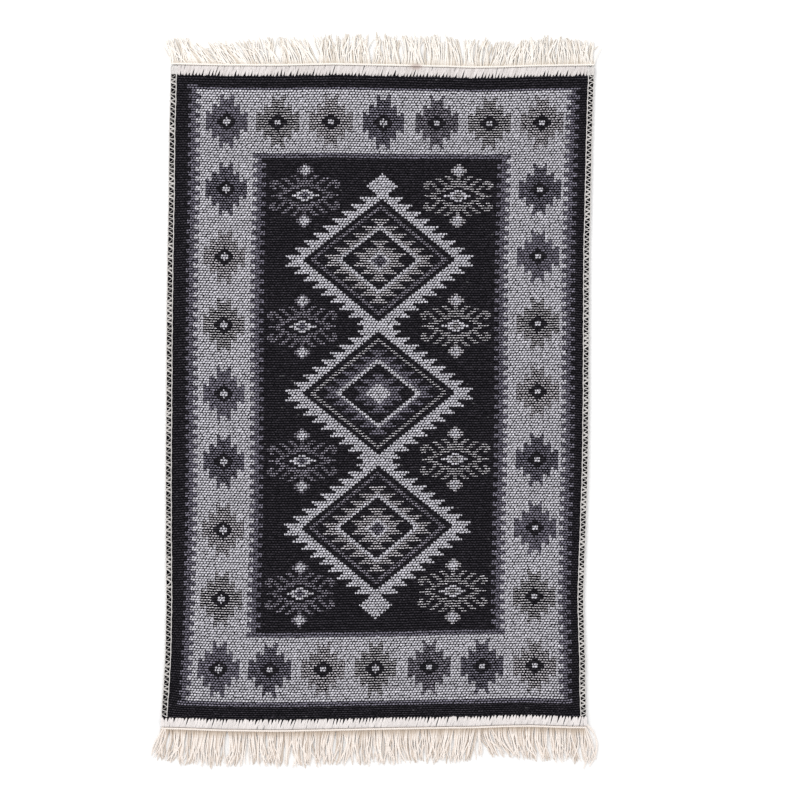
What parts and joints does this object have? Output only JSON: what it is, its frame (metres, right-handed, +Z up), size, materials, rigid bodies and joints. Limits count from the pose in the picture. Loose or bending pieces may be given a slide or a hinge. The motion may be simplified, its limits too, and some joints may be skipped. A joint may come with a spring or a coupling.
{
  "type": "kilim rug",
  "caption": "Flat-woven kilim rug with stepped medallions, rosettes and zigzag borders, overlocked sides, overcast ends and cotton fringes, lying flat.",
  "frame": {"origin": "middle of the rug's whole outline with its fringes, on the floor under it", "axes": "+X across the rug's width, +Y along its length towards the far fringe, +Z up off the floor"},
  "size_m": [0.6216, 1.0444, 0.0054],
  "materials": {
    "kilim_weave": "matt flat-woven cotton, black and slate grounds with pale lilac-grey and cream figures",
    "side_overlock": "matt cream overlock thread over black cloth edge",
    "heading_stitching": "matt off-white cotton overcast stitches",
    "fringe_cotton": "matt natural cream cotton yarn"
  },
  "bodies": {
    "root": {"rug_cloth": "kilim_weave", "overlock_left": "side_overlock", "overlock_right": "side_overlock", "heading_far": "heading_stitching", "heading_near": "heading_stitching", "fringe_far": "fringe_cotton", "fringe_near": "fringe_cotton"}
  },
  "joints": []
}
